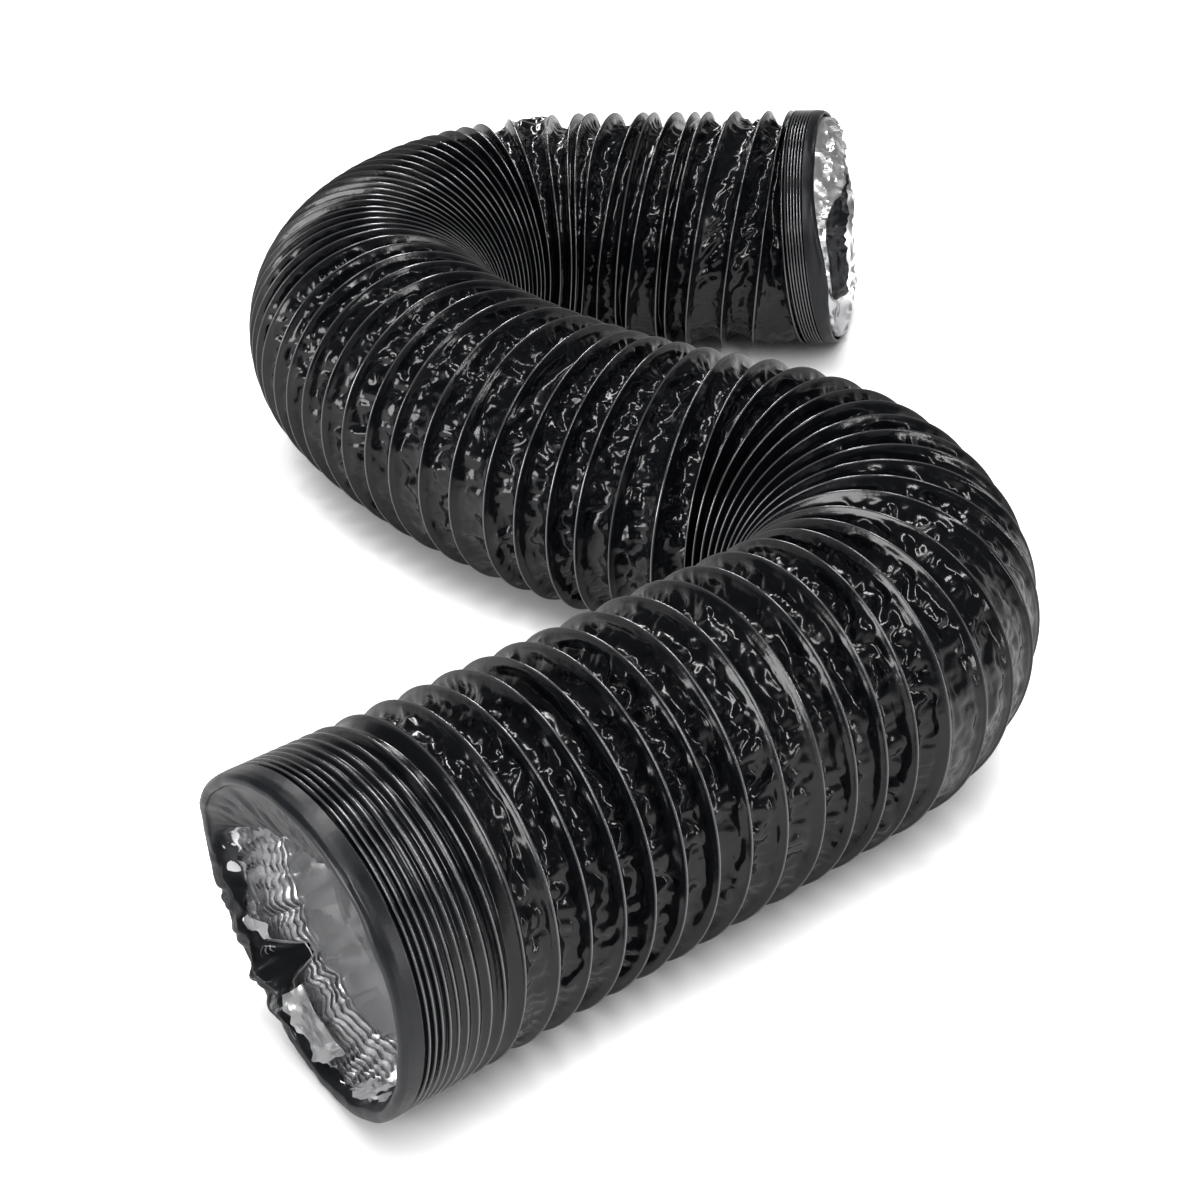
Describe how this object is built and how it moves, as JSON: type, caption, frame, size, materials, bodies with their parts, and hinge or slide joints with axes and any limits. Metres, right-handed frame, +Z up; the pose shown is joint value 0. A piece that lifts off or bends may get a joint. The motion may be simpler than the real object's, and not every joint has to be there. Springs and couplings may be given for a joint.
{
  "type": "flexible air duct",
  "caption": "Black film and foil flexible duct with a wire helix, lying in an S, with a gathered cuff at one end and a cut skirt at the other.",
  "frame": {"origin": "on the floor under the middle of the duct's outline in plan", "axes": "+Z up, +Y away from the picture's camera, +X to its right"},
  "size_m": [0.5824, 1.1986, 0.209],
  "materials": {
    "film": "glossy crumpled film",
    "wire": "drawn spring wire",
    "foil": "bright crumpled foil"
  },
  "bodies": {
    "near_end": {"jacket_near_end": "film", "wire_near_end": "wire", "liner_near_end": "foil", "jacket_near_mouth": "film", "liner_near_mouth": "foil"},
    "near_run": {"jacket_near_run": "film", "wire_near_run": "wire", "liner_near_run": "foil", "jacket_near_stretch_flex": "film", "wire_near_stretch_flex": "wire", "liner_near_stretch_flex": "foil"},
    "near_bend": {"jacket_near_bend": "film", "wire_near_bend": "wire", "liner_near_bend": "foil", "jacket_near_bend_in_flex": "film", "wire_near_bend_in_flex": "wire", "liner_near_bend_in_flex": "foil"},
    "mid_run_near": {"jacket_mid_run_near": "film", "wire_mid_run_near": "wire", "liner_mid_run_near": "foil", "jacket_near_bend_out_flex": "film", "wire_near_bend_out_flex": "wire", "liner_near_bend_out_flex": "foil", "jacket_middle_flex": "film", "wire_middle_flex": "wire", "liner_middle_flex": "foil"},
    "mid_run_far": {"jacket_mid_run_far": "film", "wire_mid_run_far": "wire", "liner_mid_run_far": "foil", "jacket_far_bend_in_flex": "film", "wire_far_bend_in_flex": "wire", "liner_far_bend_in_flex": "foil"},
    "far_bend": {"jacket_far_bend": "film", "wire_far_bend": "wire", "liner_far_bend": "foil", "jacket_far_bend_out_flex": "film", "wire_far_bend_out_flex": "wire", "liner_far_bend_out_flex": "foil"},
    "far_run": {"jacket_far_run": "film", "wire_far_run": "wire", "liner_far_run": "foil", "jacket_far_stretch_flex": "film", "wire_far_stretch_flex": "wire", "liner_far_stretch_flex": "foil"},
    "far_end": {"jacket_far_end": "film", "wire_far_end": "wire", "liner_far_end": "foil", "jacket_far_mouth": "film", "liner_far_mouth": "foil"}
  },
  "joints": [
    {"name": "near_bend_out_fold", "type": "hinge", "parent": "mid_run_near", "child": "near_bend", "pos_m": [0.13803, -0.03957, 0.1045], "axis": [0, 0, 1], "range_deg": [-8, 35], "deforming": ["jacket_near_bend_out_flex", "wire_near_bend_out_flex", "liner_near_bend_out_flex"]},
    {"name": "near_bend_in_fold", "type": "hinge", "parent": "near_bend", "child": "near_run", "pos_m": [0.16955, -0.21923, 0.1045], "axis": [0, 0, 1], "range_deg": [-8, 35], "deforming": ["jacket_near_bend_in_flex", "wire_near_bend_in_flex", "liner_near_bend_in_flex"]},
    {"name": "near_stretch", "type": "slide", "parent": "near_run", "child": "near_end", "axis": [-0.7627, -0.6468, 0], "range_m": [-0.075, 0.05], "deforming": ["jacket_near_stretch_flex", "wire_near_stretch_flex", "liner_near_stretch_flex"]},
    {"name": "middle_stretch", "type": "slide", "parent": "mid_run_near", "child": "mid_run_far", "axis": [-0.7553, 0.6554, 0], "range_m": [-0.075, 0.05], "deforming": ["jacket_middle_flex", "wire_middle_flex", "liner_middle_flex"]},
    {"name": "far_bend_in_fold", "type": "hinge", "parent": "mid_run_far", "child": "far_bend", "pos_m": [-0.1844, 0.26984, 0.1045], "axis": [0, 0, 1], "range_deg": [-8, 35], "deforming": ["jacket_far_bend_in_flex", "wire_far_bend_in_flex", "liner_far_bend_in_flex"]},
    {"name": "far_bend_out_fold", "type": "hinge", "parent": "far_bend", "child": "far_run", "pos_m": [-0.06855, 0.47336, 0.1045], "axis": [0, 0, 1], "range_deg": [-8, 35], "deforming": ["jacket_far_bend_out_flex", "wire_far_bend_out_flex", "liner_far_bend_out_flex"]},
    {"name": "far_stretch", "type": "slide", "parent": "far_run", "child": "far_end", "axis": [0.9993, 0.0384, 0], "range_m": [-0.042, 0.04], "deforming": ["jacket_far_stretch_flex", "wire_far_stretch_flex", "liner_far_stretch_flex"]}
  ],
  "couplings": [
    {"joint": "near_bend_in_fold", "follows": "near_bend_out_fold", "ratio": 1},
    {"joint": "far_bend_out_fold", "follows": "far_bend_in_fold", "ratio": 1}
  ]
}
